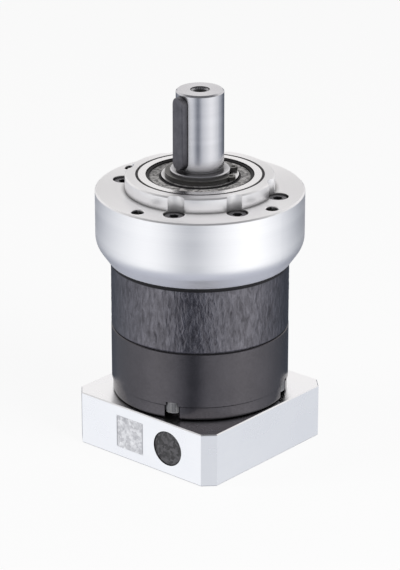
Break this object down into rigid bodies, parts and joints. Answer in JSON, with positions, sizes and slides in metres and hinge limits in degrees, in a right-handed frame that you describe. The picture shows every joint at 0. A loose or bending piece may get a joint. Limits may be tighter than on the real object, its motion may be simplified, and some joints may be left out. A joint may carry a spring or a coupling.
{
  "type": "planetary gearbox",
  "caption": "Inline planetary gearbox with a keyed output shaft, round bearing flange with centring pilot, cylindrical ring gear body and square motor adapter plate.",
  "frame": {"origin": "centre of the motor's mounting face, on the common axis of both shafts", "axes": "+Z along the output shaft, away from the motor; the plate's sides are parallel to X and Y, and the access plug is on the -Y side"},
  "size_m": [0.07, 0.07, 0.1248],
  "materials": {
    "polished_aluminium": "bright turned and polished",
    "clamp_aluminium": "plain machined",
    "black_anodised": "satin black anodised",
    "dark_casting": "dark coated with a hammered grain",
    "black_rubber": "matt",
    "seal_rubber": "matt, slightly oily",
    "blackened_steel": "blackened",
    "spring_steel": "phosphated and worn bright",
    "ground_steel": "ground",
    "gear_steel": "hardened and oiled",
    "bearing_steel": "ground and polished",
    "cage_polymer": "moulded"
  },
  "bodies": {
    "housing": {"motor_adapter_plate": "polished_aluminium", "input_housing": "black_anodised", "ring_gear_housing": "dark_casting", "flange_gasket": "black_rubber", "output_flange": "polished_aluminium", "front_bearing_outer_ring": "bearing_steel", "front_bearing_seals": "seal_rubber", "rear_bearing_outer_ring": "bearing_steel", "input_bearing_outer_ring": "bearing_steel", "input_housing_circlip": "spring_steel", "input_oil_seal": "seal_rubber", "o_ring": "black_rubber", "flange_screws": "blackened_steel", "input_screws": "blackened_steel", "adapter_screws": "blackened_steel", "dowel_pins": "ground_steel"},
    "output": {"output_shaft": "ground_steel", "shaft_key": "blackened_steel", "planet_pins": "ground_steel", "thrust_washers": "ground_steel", "front_bearing_inner_ring": "bearing_steel", "rear_bearing_inner_ring": "bearing_steel", "shaft_circlip": "spring_steel"},
    "input": {"sun_gear_shaft": "gear_steel", "clamping_collar": "clamp_aluminium", "clamp_screw": "blackened_steel", "input_bearing_inner_ring": "bearing_steel", "input_shaft_circlip": "spring_steel"},
    "plug": {"access_plug": "black_rubber"},
    "front_cage": {"front_bearing_cage": "cage_polymer", "front_bearing_balls": "bearing_steel"},
    "rear_cage": {"rear_bearing_cage": "cage_polymer", "rear_bearing_balls": "bearing_steel"},
    "input_cage": {"input_bearing_cage": "cage_polymer", "input_bearing_balls": "bearing_steel"},
    "planet_1": {"planet_gear_1": "gear_steel"},
    "needles_1": {"needle_rollers_1": "bearing_steel"},
    "planet_2": {"planet_gear_2": "gear_steel"},
    "needles_2": {"needle_rollers_2": "bearing_steel"},
    "planet_3": {"planet_gear_3": "gear_steel"},
    "needles_3": {"needle_rollers_3": "bearing_steel"}
  },
  "joints": [
    {"name": "output_spin", "type": "hinge", "parent": "housing", "child": "output", "pos_m": [0, 0, 0.09], "axis": [0, 0, 1], "continuous": true},
    {"name": "input_spin", "type": "hinge", "parent": "housing", "child": "input", "pos_m": [0, 0, 0.027], "axis": [0, 0, 1], "continuous": true},
    {"name": "planet_1_spin", "type": "hinge", "parent": "output", "child": "planet_1", "pos_m": [0.0135, 0, 0.0522], "axis": [0, 0, 1], "continuous": true},
    {"name": "needles_1_roll", "type": "hinge", "parent": "output", "child": "needles_1", "pos_m": [0.0135, 0, 0.0522], "axis": [0, 0, 1], "continuous": true},
    {"name": "planet_2_spin", "type": "hinge", "parent": "output", "child": "planet_2", "pos_m": [-0.00675, 0.01169, 0.0522], "axis": [0, 0, 1], "continuous": true},
    {"name": "needles_2_roll", "type": "hinge", "parent": "output", "child": "needles_2", "pos_m": [-0.00675, 0.01169, 0.0522], "axis": [0, 0, 1], "continuous": true},
    {"name": "planet_3_spin", "type": "hinge", "parent": "output", "child": "planet_3", "pos_m": [-0.00675, -0.01169, 0.0522], "axis": [0, 0, 1], "continuous": true},
    {"name": "needles_3_roll", "type": "hinge", "parent": "output", "child": "needles_3", "pos_m": [-0.00675, -0.01169, 0.0522], "axis": [0, 0, 1], "continuous": true},
    {"name": "front_cage_roll", "type": "hinge", "parent": "housing", "child": "front_cage", "pos_m": [0, 0, 0.0895], "axis": [0, 0, 1], "continuous": true},
    {"name": "rear_cage_roll", "type": "hinge", "parent": "housing", "child": "rear_cage", "pos_m": [0, 0, 0.0755], "axis": [0, 0, 1], "continuous": true},
    {"name": "input_cage_roll", "type": "hinge", "parent": "housing", "child": "input_cage", "pos_m": [0, 0, 0.0267], "axis": [0, 0, 1], "continuous": true},
    {"name": "plug_pull", "type": "slide", "parent": "housing", "child": "plug", "axis": [0, -1, 0], "range_m": [0, 0.012]}
  ],
  "couplings": [
    {"joint": "input_spin", "follows": "output_spin", "ratio": 5},
    {"joint": "planet_1_spin", "follows": "output_spin", "ratio": -2.6667},
    {"joint": "needles_1_roll", "follows": "output_spin", "ratio": -1.6566},
    {"joint": "planet_2_spin", "follows": "output_spin", "ratio": -2.6667},
    {"joint": "needles_2_roll", "follows": "output_spin", "ratio": -1.6566},
    {"joint": "planet_3_spin", "follows": "output_spin", "ratio": -2.6667},
    {"joint": "needles_3_roll", "follows": "output_spin", "ratio": -1.6566},
    {"joint": "front_cage_roll", "follows": "output_spin", "ratio": 0.39758},
    {"joint": "rear_cage_roll", "follows": "output_spin", "ratio": 0.41181},
    {"joint": "input_cage_roll", "follows": "output_spin", "ratio": 2.1635}
  ]
}
